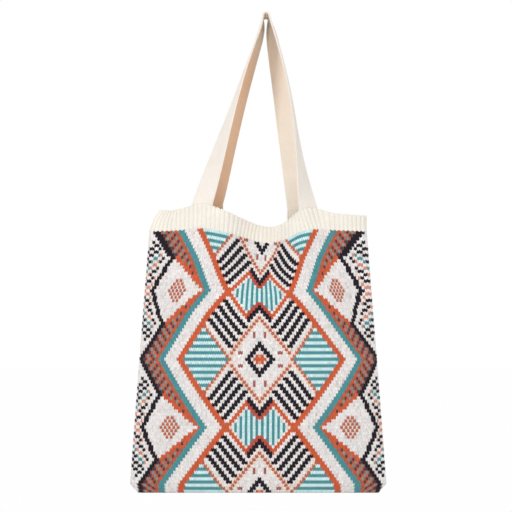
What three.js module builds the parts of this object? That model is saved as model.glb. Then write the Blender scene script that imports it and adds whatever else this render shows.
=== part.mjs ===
import * as THREE from 'three';

// A knitted jacquard tote that hangs by its two straps. Millimetres, +Z up.
// The origin is the underside of the straps, where a hook carries them, and the front faces -Y.

// Knit gauge
const waleWidth = 3.36;
const courseHeight = 4.59;
const walesPerFace = 108;
const coursesAbove = 39;
const coursesBelow = 42;
const wallThickness = 3;

// Body: one knitted tube, folded at the bottom and open at the mouth
const mouthWidth = 304;
const baseWidth = 362;
const bellyDepth = 46;
const foldDepth = 6;
const cornerCut = 13;
const floorThickness = 5;
const bodyCentreX = -11;
const mouthDrop = 303.5;
const sectionSquareness = 2.9;

// Gathers that the pull of the straps leaves in the mouth; places are shares of the half width
// and the pushes of the front and the back wall are shares of the deepest one
const gatherReach = 62;
const gatherSlack = 48;
const gatherPush = 28;
const gathers = [
  { at: 0.02, half: 0.37, front: 1, back: 0.86 },
  { at: 0.62, half: 0.22, front: 0.36, back: 0.18 },
  { at: -0.72, half: 0.24, front: 0.18, back: 0.29 },
];

// Sag of the mouth line between the straps: share of the half width, share of the sag
const mouthSag = 17;
const hemSag = 21;
const hemTilt = 6;
const sagReach = 150;
const sagLine = [
  [-1, 0.06], [-0.76, 0], [-0.52, -0.18], [-0.34, 0.06], [-0.17, 0.5], [0, 0.94],
  [0.13, 1], [0.26, 0.72], [0.39, 0.1], [0.52, -0.1], [0.74, -0.02], [1, 0.06],
];

// Ribbed band round the mouth
const bandHeight = 28;
const bandWall = 2.6;
const ribDepth = 0.7;
const walesPerRib = 2;
const bandGather = 1.12;

// Straps, sewn inside the band
const strapWidth = 31;
const strapThickness = 2.6;
const footRise = 4;
const footClearTop = 1.5;
const hookRadius = 3;
const strapSpacing = 0.8;
const rootCurl = 0.25;
const joinGap = 0.3;
const footGap = 0.4;

// Each leg: its foot is a share of half the mouth, its bow and pinch are shares of the strap's
// width. It makes "hold" of its quarter turn on the way up, sooner for a high "twist", and the
// rest close under the hook.
const lastTurn = 16;
const pinchPlace = 8;
const straps = [
  {
    name: 'front_strap',
    side: -1,
    left: { foot: -0.52, hold: 0.98, twist: 2.2, bow: -0.017, pinch: 0.067 },
    right: { foot: 0.467, hold: 0.93, twist: 5, bow: 0.245, pinch: 0 },
  },
  {
    name: 'back_strap',
    side: 1,
    left: { foot: -0.434, hold: 0.77, twist: 3, bow: 0.044, pinch: 0.067 },
    right: { foot: 0.382, hold: 0.62, twist: 1.3, bow: 0.026, pinch: 0 },
  },
];

// Fineness of the facets
const cellWales = 3;
const liningCells = { gathered: 2, plain: 4 };
const contourSteps = 720;
const ribSteps = 3;
const strapAcross = 6;
const footSteps = 3;
const legSteps = 16;
const hookSteps = 6;

// Outer edge of the diamonds at the sides, in stitches
const sideDiamond = { out: 51, lean: 27, waist: 12 };

// Yarn colours
const yarns = {
  cream: new THREE.Color('#FBF1E0'),
  strap: new THREE.Color('#F7EBDC'),
  white: new THREE.Color('#EFEAE6'),
  orange: new THREE.Color('#CF5F3D'),
  coral: new THREE.Color('#E6AE97'),
  teal: new THREE.Color('#4B9296'),
  mint: new THREE.Color('#CFE3E1'),
  navy: new THREE.Color('#2B2229'),
  brown: new THREE.Color('#95695C'),
  reverse: new THREE.Color('#BFB0A6'),
};

const walesRound = 2 * walesPerFace;
const coursesPerFace = coursesAbove + coursesBelow;
const repeat = coursesBelow;
const bodyHeight = coursesPerFace * courseHeight;
const girth = walesRound * waleWidth;
const cellHeight = cellWales * courseHeight;
const ribReach = bandWall / 2 + ribDepth;
const ribPitch = walesPerRib / ribSteps;
const yarnRoughness = 0.92;

const mix = (a, b, share) => a + (b - a) * share;
const clamp = (value, low, high) => Math.min(high, Math.max(low, value));

function smoothStep(value) {
  const share = clamp(value, 0, 1);
  return share * share * (3 - 2 * share);
}

// A raised cosine: 1 at the middle, 0 from one half width away
function hump(distance, half) {
  if (Math.abs(distance) >= half) return 0;
  return 0.5 + 0.5 * Math.cos(Math.PI * distance / half);
}

// Cubic through the sag points, level at both ends
function sagShare(share) {
  const place = clamp(share, -1, 1);
  let i = 0;
  while (i < sagLine.length - 2 && sagLine[i + 1][0] < place) i += 1;
  const [x0, y0] = sagLine[i];
  const [x1, y1] = sagLine[i + 1];
  const before = sagLine[Math.max(i - 1, 0)];
  const after = sagLine[Math.min(i + 2, sagLine.length - 1)];
  const slope0 = i === 0 ? 0 : (y1 - before[1]) / (x1 - before[0]);
  const slope1 = i === sagLine.length - 2 ? 0 : (after[1] - y0) / (after[0] - x0);
  const t = (place - x0) / (x1 - x0);
  const span = x1 - x0;
  const rise = (2 * t ** 3 - 3 * t ** 2 + 1) * y0 + (3 * t ** 2 - 2 * t ** 3) * y1;
  return rise + (t ** 3 - 2 * t ** 2 + t) * span * slope0 + (t ** 3 - t ** 2) * span * slope1;
}

// Half sizes of the section at a share of the way down; a knitted tube keeps its girth,
// so it is deep where it is narrow and closes to a fold where it is wide
function sectionSizes(down) {
  const halfWidth = mix(mouthWidth, baseWidth, clamp(down, 0, 1)) / 2;
  const slack = gatherSlack * gatherFade(down);
  const spare = Math.max(0, (girth - slack - 4 * halfWidth) / (Math.PI - 2));
  const depth = Math.hypot(foldDepth, bellyDepth * Math.tanh(spare / bellyDepth));
  return { halfWidth, halfDepth: depth / 2 };
}

function gatherFade(down) {
  const below = Math.max(0, down) * bodyHeight;
  return Math.exp(-((below / gatherReach) ** 2));
}

function gatherShift(share, panel, strength) {
  let shift = 0;
  for (const gather of gathers) shift += gather[panel] * hump(share - gather.at, gather.half);
  return shift * gatherPush * strength;
}

// The section as two runs, front from left to right and back from right to left, each divided
// evenly by arc length, because the wales are all as wide
function makeContour(halfWidth, halfDepth, strength) {
  const runs = [];
  const bend = 2 / sectionSquareness;
  for (let run = 0; run < 2; run += 1) {
    const panel = run === 0 ? 'front' : 'back';
    const points = [];
    for (let i = 0; i <= contourSteps; i += 1) {
      const angle = Math.PI * (1 + run + i / contourSteps);
      const across = Math.cos(angle);
      const deep = i === contourSteps ? 0 : Math.sin(angle);
      const share = Math.sign(across) * Math.abs(across) ** bend;
      const y = halfDepth * Math.sign(deep) * Math.abs(deep) ** bend;
      points.push({ x: halfWidth * share, y: y + gatherShift(share, panel, strength) });
    }
    const lengths = [0];
    for (let i = 1; i < points.length; i += 1) {
      const step = Math.hypot(points[i].x - points[i - 1].x, points[i].y - points[i - 1].y);
      lengths.push(lengths[i - 1] + step);
    }
    runs.push({ points, lengths, total: lengths[contourSteps] });
  }
  return { runs, halfWidth };
}

// A point at an arc length along one run; past an end it goes on along the other run
function runPoint(contour, index, arc) {
  const run = contour.runs[index];
  if (arc < 0) return runPoint(contour, 1 - index, contour.runs[1 - index].total + arc);
  if (arc > run.total) return runPoint(contour, 1 - index, arc - run.total);
  let low = 0;
  let high = run.lengths.length - 1;
  while (high - low > 1) {
    const middle = (low + high) >> 1;
    if (run.lengths[middle] <= arc) low = middle;
    else high = middle;
  }
  const t = (arc - run.lengths[low]) / (run.lengths[high] - run.lengths[low]);
  const from = run.points[low];
  const to = run.points[high];
  return { x: mix(from.x, to.x, t), y: mix(from.y, to.y, t) };
}

// A point of the section, counted in wales from the left side, moved out along its normal
function contourPoint(contour, wale, offset) {
  const turned = ((wale % walesRound) + walesRound) % walesRound;
  const index = turned < walesPerFace ? 0 : 1;
  const { total } = contour.runs[index];
  const arc = total * (turned - index * walesPerFace) / walesPerFace;
  const reach = 1.5 * waleWidth;
  const place = runPoint(contour, index, arc);
  const before = runPoint(contour, index, arc - reach);
  const after = runPoint(contour, index, arc + reach);
  const length = Math.hypot(after.x - before.x, after.y - before.y);
  const outX = (after.y - before.y) / length;
  const outY = (before.x - after.x) / length;
  const share = clamp(place.x / contour.halfWidth, -1, 1);
  return { x: place.x + outX * offset, y: place.y + outY * offset, outX, outY, share };
}

const contours = new Map();

// The section at a share of the way down, kept once it has been worked out
function contourAt(down, inset, strength) {
  const key = `${down} ${inset} ${strength}`;
  if (!contours.has(key)) {
    const { halfWidth, halfDepth } = sectionSizes(down);
    const thin = Math.max(halfDepth - inset, foldDepth / 8);
    contours.set(key, makeContour(halfWidth - inset, thin, gatherFade(down) * strength));
  }
  return contours.get(key);
}

function bodyZ(share, below) {
  const fade = 1 - smoothStep(below / sagReach);
  return -mouthDrop - below - mouthSag * sagShare(share) * fade;
}

function bandTopZ(share) {
  return bandHeight - mouthDrop - hemSag * sagShare(share) - hemTilt * (share + 1) / 2;
}

// A closed skin is gathered triangle by triangle, each with its yarn colour
function addTriangle(skin, a, b, c, colour) {
  for (const corner of [a, b, c]) {
    skin.positions.push(corner.x, corner.y, corner.z);
    skin.colours.push(colour.r, colour.g, colour.b);
  }
}

function addQuad(skin, a, b, c, d, colour) {
  addTriangle(skin, a, b, c, colour);
  addTriangle(skin, a, c, d, colour);
}

function skinMesh(name, skin) {
  const geometry = new THREE.BufferGeometry();
  geometry.setAttribute('position', new THREE.Float32BufferAttribute(skin.positions, 3));
  geometry.setAttribute('color', new THREE.Float32BufferAttribute(skin.colours, 3));
  geometry.computeVertexNormals();
  const material = new THREE.MeshStandardMaterial({
    vertexColors: true,
    roughness: yarnRoughness,
    metalness: 0,
  });
  const mesh = new THREE.Mesh(geometry, material);
  mesh.name = name;
  return mesh;
}

// Colour fields of the jacquard in cells of three stitches. m and k are the stitches across and
// down from the middle of the nearest medallion; "out" grows away from that middle, and "lean"
// runs across the diagonals.
function fieldColour(wale, course) {
  const m = Math.abs(wale);
  const turn = ((course % repeat) + repeat) % repeat;
  const k = Math.min(turn, repeat - turn);
  const out = m + k;
  const lean = m - k;
  if (out >= 33) return outerField(m, k, out, lean);
  if (out < 3) return yarns.orange;
  if (out < 6) return yarns.navy;
  if (out < 12) return yarns.white;
  if (m < 6 && out >= 15) return bowTieField(m, k, out - 15);
  if (lean < -9) return bowTieField(m, k, -lean - 6);
  if (out < 15 || (lean >= 12 && lean < 15)) return yarns.coral;
  if (lean >= 15) return stripeOf(k, yarns.teal, yarns.mint);
  return stripeOf(lean + 12, yarns.navy, yarns.white);
}

// The bow tie between two medallions: navy chevron, orange edge and upright stripes
function bowTieField(m, k, depth) {
  if (depth < 3) return yarns.navy;
  if (depth < 6) return yarns.orange;
  return stripeOf(m, yarns.teal, yarns.mint);
}

// The zigzag bands beside the medallions, the white diamonds at the sides and the check lozenges
function outerField(m, k, out, lean) {
  if (out < 36) return yarns.orange;
  if (out < 42) return yarns.white;
  if (out < 45) return yarns.teal;
  const waist = k >= sideDiamond.waist;
  const edge = waist ? lean - sideDiamond.lean : out - sideDiamond.out;
  if (edge >= 6) return checkOf(m, k);
  if (edge >= 3) return yarns.white;
  if (edge >= 0) return yarns.navy;
  if (!waist || out < 48) return yarns.brown;
  if (out < 51) return yarns.orange;
  return Math.abs(m - 37.5) + repeat / 2 - k < 4 ? yarns.coral : yarns.white;
}

function checkOf(m, k) {
  const across = Math.floor(m / cellWales);
  const down = Math.floor(k / cellWales);
  if ((across + down) % 2) return yarns.white;
  return down % 4 < 2 ? yarns.navy : yarns.teal;
}

function stripeOf(distance, even, odd) {
  return Math.floor(distance / cellWales) % 2 === 0 ? even : odd;
}

// A cell of the outer face, cut only along the diagonals that its colour edges follow
function addCell(skin, face, wale, course) {
  const point = (w, c) => outerPoint(face, wale + w * cellWales, course + c * cellWales);
  const colour = (w, c) => fieldColour(wale + w * cellWales, course + c * cellWales);
  const topLeft = point(0, 0);
  const bottomLeft = point(0, 1);
  const bottomRight = point(1, 1);
  const topRight = point(1, 0);
  const north = colour(0.5, 0.2);
  const south = colour(0.5, 0.8);
  const west = colour(0.2, 0.5);
  const east = colour(0.8, 0.5);
  if (north === west && south === east) {
    addTriangle(skin, topLeft, bottomLeft, topRight, north);
    addTriangle(skin, bottomLeft, bottomRight, topRight, south);
  } else if (north === east && south === west) {
    addTriangle(skin, topLeft, bottomLeft, bottomRight, south);
    addTriangle(skin, topLeft, bottomRight, topRight, north);
  } else {
    const centre = point(0.5, 0.5);
    addTriangle(skin, topLeft, bottomLeft, centre, west);
    addTriangle(skin, bottomLeft, bottomRight, centre, south);
    addTriangle(skin, bottomRight, topRight, centre, east);
    addTriangle(skin, topRight, topLeft, centre, north);
  }
}

// A point of the body's outer face. Wales count from the axis of the face and courses from the
// middle of the whole medallion; the last row brings front and back together on one line.
function outerPoint(face, wale, course) {
  const below = (course + coursesAbove) * courseHeight;
  const open = clamp((coursesBelow - course) / cellWales, 0, 1);
  const around = wale + (face + 0.5) * walesPerFace;
  return fabricPoint(0, around, wallThickness / 2, below, open);
}

// The same for the inner face, which closes above the bottom fold. In the gathers it keeps beside
// the outer face; below them it is a smaller section, which stays whole where the bag is thin.
function liningPoint(around, cells) {
  const below = Math.min(cells * cellHeight, bodyHeight - floorThickness);
  const open = cells * cellHeight < bodyHeight - floorThickness ? 1 : 0;
  const half = wallThickness / 2;
  const gathered = below < 2 * gatherReach;
  return fabricPoint(gathered ? 0 : half, around, gathered ? -half : 0, below, open);
}

function fabricPoint(inset, around, offset, below, open) {
  const contour = contourAt(below / bodyHeight, inset, 1);
  const place = contourPoint(contour, around, offset);
  const narrow = 1 - (1 - open) * cornerCut / contour.halfWidth;
  const middle = contourPoint(contourAt(below / bodyHeight, 0, 1), around, 0);
  const z = bodyZ(middle.share, below);
  return new THREE.Vector3(bodyCentreX + place.x * narrow, place.y * open, z);
}

function jacquardBody() {
  const skin = { positions: [], colours: [] };
  for (let face = 0; face < 2; face += 1) {
    for (let wale = -walesPerFace / 2; wale < walesPerFace / 2; wale += cellWales) {
      for (let course = -coursesAbove; course < coursesBelow; course += cellWales) {
        addCell(skin, face, wale, course);
      }
    }
  }
  const rows = [0];
  while (last(rows) * cellHeight < bodyHeight - floorThickness) {
    const gathered = last(rows) * cellHeight < 2 * gatherReach;
    rows.push(last(rows) + (gathered ? liningCells.gathered : liningCells.plain));
  }
  for (let around = 0; around < walesRound; around += cellWales) {
    const next = around + cellWales;
    for (let i = 1; i < rows.length; i += 1) {
      const upper = liningPoint(around, rows[i - 1]);
      const lower = liningPoint(around, rows[i]);
      const nextLower = liningPoint(next, rows[i]);
      const nextUpper = liningPoint(next, rows[i - 1]);
      addQuad(skin, upper, nextUpper, nextLower, lower, yarns.reverse);
    }
    const top = -coursesAbove;
    const centred = around - walesPerFace / 2;
    const outer = outerPoint(0, centred, top);
    const nextOuter = outerPoint(0, centred + cellWales, top);
    addQuad(skin, outer, nextOuter, liningPoint(next, 0), liningPoint(around, 0), yarns.white);
  }
  return skinMesh('jacquard_body', skin);
}

function last(list) {
  return list[list.length - 1];
}

// Height of the body's top edge, which runs straight from one cell to the next
function rimZ(around) {
  const contour = contourAt(0, 0, 1);
  const cell = Math.floor(around / cellWales) * cellWales;
  const from = contourPoint(contour, cell, 0).share;
  const to = contourPoint(contour, cell + cellWales, 0).share;
  return mix(bodyZ(from, 0), bodyZ(to, 0), (around - cell) / cellWales);
}

// Rib profile: two points on the crest and one in the furrow, the same on both faces, so that
// the knitting keeps its thickness
function bandPoint(around, level, face) {
  const contour = contourAt(0, 0, mix(1, bandGather, level));
  const crest = Math.round(around / ribPitch) % ribSteps < 2 ? ribDepth : -ribDepth;
  const place = contourPoint(contour, around, crest + face * bandWall / 2);
  const z = level === 0 ? rimZ(around) + joinGap : bandTopZ(place.share);
  return new THREE.Vector3(bodyCentreX + place.x, place.y, z);
}

function ribbedBand() {
  const skin = { positions: [], colours: [] };
  const count = Math.round(walesRound / ribPitch);
  for (let i = 0; i < count; i += 1) {
    const corner = (step, level, face) => bandPoint(((i + step) % count) * ribPitch, level, face);
    const outer = [corner(0, 1, 1), corner(0, 0, 1), corner(1, 0, 1), corner(1, 1, 1)];
    const inner = [corner(1, 1, -1), corner(1, 0, -1), corner(0, 0, -1), corner(0, 1, -1)];
    addQuad(skin, ...outer, yarns.cream);
    addQuad(skin, ...inner, yarns.cream);
    addQuad(skin, outer[0], outer[3], inner[0], inner[3], yarns.cream);
    addQuad(skin, outer[2], outer[1], inner[2], inner[1], yarns.cream);
  }
  return skinMesh('ribbed_band', skin);
}

// Where the middle of a strap's foot lies, counted in wales round the bag
function waleAtX(contour, x, side) {
  let low = side < 0 ? 0 : walesPerFace;
  let high = low + walesPerFace;
  const rising = side < 0;
  for (let i = 0; i < 40; i += 1) {
    const middle = (low + high) / 2;
    const right = contourPoint(contour, middle, 0).x > x;
    if (right === rising) high = middle;
    else low = middle;
  }
  return (low + high) / 2;
}

// A row across the middle of a strap's foot, which follows the band's inner face. leg is 1 on the
// left and -1 on the right, and the row runs towards the strap's inner edge.
function footRow(strap, footX, leg, level) {
  const contour = contourAt(0, 0, mix(1, bandGather, level));
  const middle = waleAtX(contour, footX, strap.side);
  const pitch = contour.runs[strap.side < 0 ? 0 : 1].total / walesPerFace;
  const inset = ribReach + footGap + strapThickness / 2;
  const row = [];
  for (let i = 0; i <= strapAcross; i += 1) {
    const around = middle - strap.side * leg * acrossPlace(i) / pitch;
    row.push(contourPoint(contour, around, -inset));
  }
  return row;
}

function acrossPlace(i) {
  return strapWidth * (i / strapAcross - 0.5);
}

// Rows of points up one leg, from the foot's lower end to where the strap meets the hook. The
// strap's width turns from along the mouth at the root to along the hook.
function legRows(strap, plan, leg) {
  const footX = plan.foot * mouthWidth / 2;
  const edge = footRow(strap, footX, leg, 1);
  const low = Math.max(...edge.map((place) => bodyZ(place.share, 0))) + footRise;
  const high = Math.max(...edge.map((place) => bandTopZ(place.share))) + footClearTop;
  const rows = [];
  for (let i = 0; i <= footSteps; i += 1) {
    const z = mix(low, high, i / footSteps);
    const places = footRow(strap, footX, leg, i / footSteps);
    rows.push(places.map((place) => new THREE.Vector3(bodyCentreX + place.x, place.y, z)));
  }
  const root = last(rows);
  const centre = root[strapAcross / 2];
  const span = last(root).clone().sub(root[0]);
  const straightAngle = leg > 0 ? 0 : Math.PI;
  const rootAngle = straightAngle + Math.atan2(leg * span.y, leg * span.x);
  const hookAngle = straightAngle + leg * strap.side * Math.PI / 2;
  const lean = Math.atan2(Math.abs(centre.x), -centre.z);
  const end = hookPoint(strap, straightAngle === 0 ? Math.PI - lean : lean);
  for (let i = 1; i <= legSteps; i += 1) {
    const t = i / legSteps;
    const turn = plan.hold * (1 - (1 - t) ** plan.twist) + (1 - plan.hold) * t ** lastTurn;
    const bow = plan.bow * Math.sin(Math.PI * t ** 1.5);
    const pinch = leg * plan.pinch * Math.sin(Math.PI * t ** pinchPlace);
    const middle = centre.clone().lerp(end, t);
    middle.x += strapWidth * (bow + pinch);
    const row = widthRow(middle, mix(rootAngle, hookAngle, turn));
    const curl = Math.max(0, 1 - t / rootCurl) ** 2;
    const flat = widthRow(centre, rootAngle);
    rows.push(row.map((point, j) => point.addScaledVector(root[j].clone().sub(flat[j]), curl)));
  }
  return rows;
}

function widthRow(middle, angle) {
  const width = new THREE.Vector3(Math.cos(angle), Math.sin(angle), 0);
  const row = [];
  for (let i = 0; i <= strapAcross; i += 1) {
    row.push(middle.clone().addScaledVector(width, acrossPlace(i)));
  }
  return row;
}

// The strap's middle line over the hook, at an angle from the +X side
function hookPoint(strap, angle) {
  const radius = hookRadius + strapThickness / 2;
  const y = strap.side * (strapWidth + strapSpacing) / 2;
  return new THREE.Vector3(radius * Math.cos(angle), y, radius * Math.sin(angle) - hookRadius);
}

function hookAngleOf(row) {
  const middle = row[strapAcross / 2];
  return Math.atan2(middle.z + hookRadius, middle.x);
}

// A strap: both legs and the bend over the hook as one row after another, given its thickness
function strapMesh(strap) {
  const left = legRows(strap, strap.left, 1);
  const right = legRows(strap, strap.right, -1).reverse();
  const rows = [...left];
  const from = hookAngleOf(last(left));
  const to = hookAngleOf(right[0]);
  for (let i = 1; i < hookSteps; i += 1) {
    const middle = hookPoint(strap, mix(from, to, i / hookSteps));
    rows.push(widthRow(middle, strap.side * Math.PI / 2));
  }
  rows.push(...right);
  const outer = rows.map((row, i) => offsetRow(rows, i, strapThickness / 2));
  const inner = rows.map((row, i) => offsetRow(rows, i, -strapThickness / 2));
  const skin = { positions: [], colours: [] };
  const end = rows.length - 1;
  for (let i = 0; i < end; i += 1) {
    for (let j = 0; j < strapAcross; j += 1) {
      addQuad(skin, outer[i][j], outer[i][j + 1], outer[i + 1][j + 1], outer[i + 1][j], yarns.strap);
      addQuad(skin, inner[i][j], inner[i + 1][j], inner[i + 1][j + 1], inner[i][j + 1], yarns.strap);
    }
    const k = strapAcross;
    addQuad(skin, outer[i][0], outer[i + 1][0], inner[i + 1][0], inner[i][0], yarns.strap);
    addQuad(skin, outer[i][k], inner[i][k], inner[i + 1][k], outer[i + 1][k], yarns.strap);
  }
  for (let j = 0; j < strapAcross; j += 1) {
    addQuad(skin, outer[0][j], inner[0][j], inner[0][j + 1], outer[0][j + 1], yarns.strap);
    addQuad(skin, outer[end][j], outer[end][j + 1], inner[end][j + 1], inner[end][j], yarns.strap);
  }
  return skinMesh(strap.name, skin);
}

function offsetRow(rows, i, distance) {
  const before = rows[Math.max(i - 1, 0)];
  const after = rows[Math.min(i + 1, rows.length - 1)];
  return rows[i].map((point, j) => {
    const across = rows[i][Math.min(j + 1, strapAcross)].clone().sub(rows[i][Math.max(j - 1, 0)]);
    const along = after[j].clone().sub(before[j]);
    return point.clone().addScaledVector(across.cross(along).normalize(), distance);
  });
}

const tote = new THREE.Group();
tote.add(jacquardBody(), ribbedBand());
for (const strap of straps) tote.add(strapMesh(strap));

export default tote;
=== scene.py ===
import math

import bpy
import numpy as np
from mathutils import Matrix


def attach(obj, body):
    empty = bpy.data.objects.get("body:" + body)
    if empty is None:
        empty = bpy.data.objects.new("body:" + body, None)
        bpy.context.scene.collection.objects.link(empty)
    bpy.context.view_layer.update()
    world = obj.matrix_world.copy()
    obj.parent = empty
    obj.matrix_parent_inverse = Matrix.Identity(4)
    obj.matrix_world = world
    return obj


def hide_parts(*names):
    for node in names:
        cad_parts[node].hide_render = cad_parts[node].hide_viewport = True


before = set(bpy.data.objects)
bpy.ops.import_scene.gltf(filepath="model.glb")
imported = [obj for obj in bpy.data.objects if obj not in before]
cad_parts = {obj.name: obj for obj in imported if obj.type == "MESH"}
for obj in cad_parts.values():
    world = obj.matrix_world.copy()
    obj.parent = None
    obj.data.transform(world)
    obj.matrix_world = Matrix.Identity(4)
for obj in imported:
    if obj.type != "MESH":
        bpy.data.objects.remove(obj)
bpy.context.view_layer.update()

millimetre = 0.001

# Sizes of the knitted tube in millimetres, the same as the solids have
tube = {
    "waleWidth": 3.36,
    "courseHeight": 4.59,
    "wales": 108,  # on each face
    "courses": 81,
    "mouthWidth": 304,
    "baseWidth": 362,
    "bellyDepth": 46,  # most depth that the tube takes over its fold
    "foldDepth": 6,
    "cornerCut": 13,
    "cornerCourses": 3,
    "floorThickness": 5,
    "wall": 3,
    "centreX": -11,
    "mouthDrop": 303.5,  # from the hook down to the mouth
    "squareness": 2.9,  # power of the superellipse
    "gatherReach": 62,  # depth over which the gathers fade
    "gatherSlack": 48,  # girth that they take up at the mouth
    "gathers": (  # share of the half width, half length, push of the front, push of the back
        (0.02, 0.37, 28, 24.08),
        (0.62, 0.22, 10.08, 5.04),
        (-0.72, 0.24, 5.04, 8.12),
    ),
    "mouthSag": 17,
    "sagReach": 150,  # depth over which the sag fades
    "sagLine": (  # share of the half width, share of the sag
        (-1, 0.06), (-0.76, 0), (-0.52, -0.18), (-0.34, 0.06), (-0.17, 0.5), (0, 0.94),
        (0.13, 1), (0.26, 0.72), (0.39, 0.1), (0.52, -0.1), (0.74, -0.02), (1, 0.06),
    ),
    "bandHeight": 28,
    "bandWall": 2.6,
    "ribDepth": 0.7,
    "bandGather": 1.12,  # gathers at the band's edge against those at the mouth
    "hemSag": 21,
    "hemTilt": 6,  # how much lower the right end of the hem is
    # how the straps lift the rim at their feet: share of the half width, half length, mm
    "rimLifts": ((-0.98, 0.3, 1.5), (-0.5, 0.4, 6), (-0.1, 0.4, 3), (0.43, 0.34, 6.5)),
}
bodyHeight = tube["courses"] * tube["courseHeight"]
walesRound = 2 * tube["wales"]
lineSteps = 720  # to each half of a level
normalReach = 1.5  # wales to each side of a point that give its normal


def linearColour(code):
    # sRGB hex to linear red, green and blue
    values = np.array([int(code[i:i + 2], 16) / 255 for i in (1, 3, 5)])
    return np.where(values <= 0.04045, values / 12.92, ((values + 0.055) / 1.055) ** 2.4)


def smoothStep(value):
    # from 0 to 1 with level ends
    t = np.clip(value, 0, 1)
    return t * t * (3 - 2 * t)


def mixed(a, b, share):
    # the share of the way from a to b
    return a + (b - a) * share


def hump(distance, half):
    # raised cosine: 1 at the middle, 0 from one half length away
    return np.where(np.abs(distance) < half, 0.5 + 0.5 * np.cos(np.pi * distance / half), 0)


def sagShare(share):
    # cubic through the sag points with centred slopes, level at both ends
    xs, ys = np.array(tube["sagLine"], dtype=float).T
    slopes = np.zeros(len(xs))
    slopes[1:-1] = (ys[2:] - ys[:-2]) / (xs[2:] - xs[:-2])
    place = np.clip(share, -1, 1)
    i = np.clip(np.searchsorted(xs, place, side="right") - 1, 0, len(xs) - 2)
    span = xs[i + 1] - xs[i]
    t = (place - xs[i]) / span
    rise = (2 * t**3 - 3 * t**2 + 1) * ys[i] + (3 * t**2 - 2 * t**3) * ys[i + 1]
    return rise + ((t**3 - 2 * t**2 + t) * slopes[i] + (t**3 - t**2) * slopes[i + 1]) * span


def bodyZ(share, below):
    # height of a stitch of the body: its depth below the mouth and what the mouth sags there
    fade = 1 - smoothStep(below / tube["sagReach"])
    return -tube["mouthDrop"] - below - tube["mouthSag"] * sagShare(share) * fade


def bandTopZ(share):
    # height of the band's edge without the lifts: the hem's sag and its tilt
    drop = tube["hemSag"] * sagShare(share) + tube["hemTilt"] * (share + 1) / 2
    return tube["bandHeight"] - tube["mouthDrop"] - drop


def rimZ(share):
    # the edge of the band, which the straps lift round their feet
    return bandTopZ(share) + sum(lift * hump(share - at, half) for at, half, lift in tube["rimLifts"])


def levelLine(below, strength=1.0):
    # One level of the tube as a closed line from the left side round the front and the back:
    # a superellipse as deep as the girth of the knitting leaves it, pushed back by the gathers.
    # The count of wales grows evenly with the length of each half of the line, and flatWale
    # with a length in which the depth counts less.
    down = min(max(below / bodyHeight, 0), 1)
    fade = math.exp(-((max(0, below) / tube["gatherReach"]) ** 2))
    halfWidth = mixed(tube["mouthWidth"], tube["baseWidth"], down) / 2
    girth = walesRound * tube["waleWidth"] - tube["gatherSlack"] * fade
    spare = max(0, (girth - 4 * halfWidth) / (math.pi - 2))
    belly = tube["bellyDepth"] * math.tanh(spare / tube["bellyDepth"])
    halfDepth = math.hypot(tube["foldDepth"], belly) / 2
    turn = np.linspace(math.pi, 3 * math.pi, 2 * lineSteps + 1)
    across, deep = np.cos(turn), np.sin(turn)
    deep[[0, lineSteps, -1]] = 0
    bend = 2 / tube["squareness"]
    share = np.sign(across) * np.abs(across) ** bend
    x = halfWidth * share
    y = halfDepth * np.sign(deep) * np.abs(deep) ** bend
    onFront = np.arange(len(turn)) <= lineSteps
    for at, half, front, back in tube["gathers"]:
        y += hump(share - at, half) * np.where(onFront, front, back) * fade * strength

    def counted(depthShare):
        length = np.concatenate([[0], np.cumsum(np.hypot(np.diff(x), depthShare * np.diff(y)))])
        front, back = length[lineSteps], length[-1] - length[lineSteps]
        count = np.where(onFront, length / front, 1 + (length - front) / back) * tube["wales"]
        return count, (front / tube["wales"], back / tube["wales"])

    wale, pitches = counted(1)
    flatWale, _ = counted(stitch["sideShare"])
    return {"wale": wale, "flatWale": flatWale, "x": x, "y": y, "halfWidth": halfWidth, "pitches": pitches}


def linePoints(line, around, offset=0.0):
    # Points of a level at counts of wales, moved out along the normal, which is square to the
    # line from a little before the point to a little after it
    def at(place):
        wrapped = place % walesRound
        return np.interp(wrapped, line["wale"], line["x"]), np.interp(wrapped, line["wale"], line["y"])

    x, y = at(around)
    beforeX, beforeY = at(around - normalReach)
    afterX, afterY = at(around + normalReach)
    length = np.hypot(afterX - beforeX, afterY - beforeY)
    outX, outY = (afterY - beforeY) / length, (beforeX - afterX) / length
    share = np.clip(x / line["halfWidth"], -1, 1)
    return x + outX * offset, y + outY * offset, share


def latticeTriangles(ids):
    # Two triangles for each cell of a grid of stitches, four columns to a wale and two rows to a
    # course. The diagonals follow the legs of the stitches: down to the right in the left half
    # of a wale, down to the left in the right half.
    topLeft, topRight = ids[:-1, :-1], ids[:-1, 1:]
    lowLeft, lowRight = ids[1:, :-1], ids[1:, 1:]
    inLeft = np.broadcast_to(np.arange(ids.shape[1] - 1) % 4 < 2, topLeft.shape)[..., None]

    def either(left, right):
        return np.where(inLeft, np.stack(left, -1), np.stack(right, -1))

    lower = either((topLeft, lowLeft, lowRight), (lowLeft, lowRight, topRight))
    upper = either((topLeft, lowRight, topRight), (topLeft, lowLeft, topRight))
    return np.stack([lower, upper], 2)


def legLattice(rows, columns, leg, tip, top):
    # Height of the stitch legs at each grid point: a leg starts between two wales at the top of
    # its course, swells at the middle row and ends in the tip at the middle of the wale
    row, column = np.arange(rows)[:, None] % 2, np.arange(columns)[None, :] % 4
    height = np.where((row == 1) & (column % 2 == 1), leg, 0.0)
    height = np.where((row == 0) & (column == 2), tip, height)
    return np.where((row == 0) & (column == 0), top, height)


def plainLegs(rows, columns, leg):
    # the lower legs of the plain cream knitting, with their tips and tops as shares of them
    tipShare, topShare = 0.6, 0.3
    return legLattice(rows, columns, leg, leg * tipShare, leg * topShare)


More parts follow.
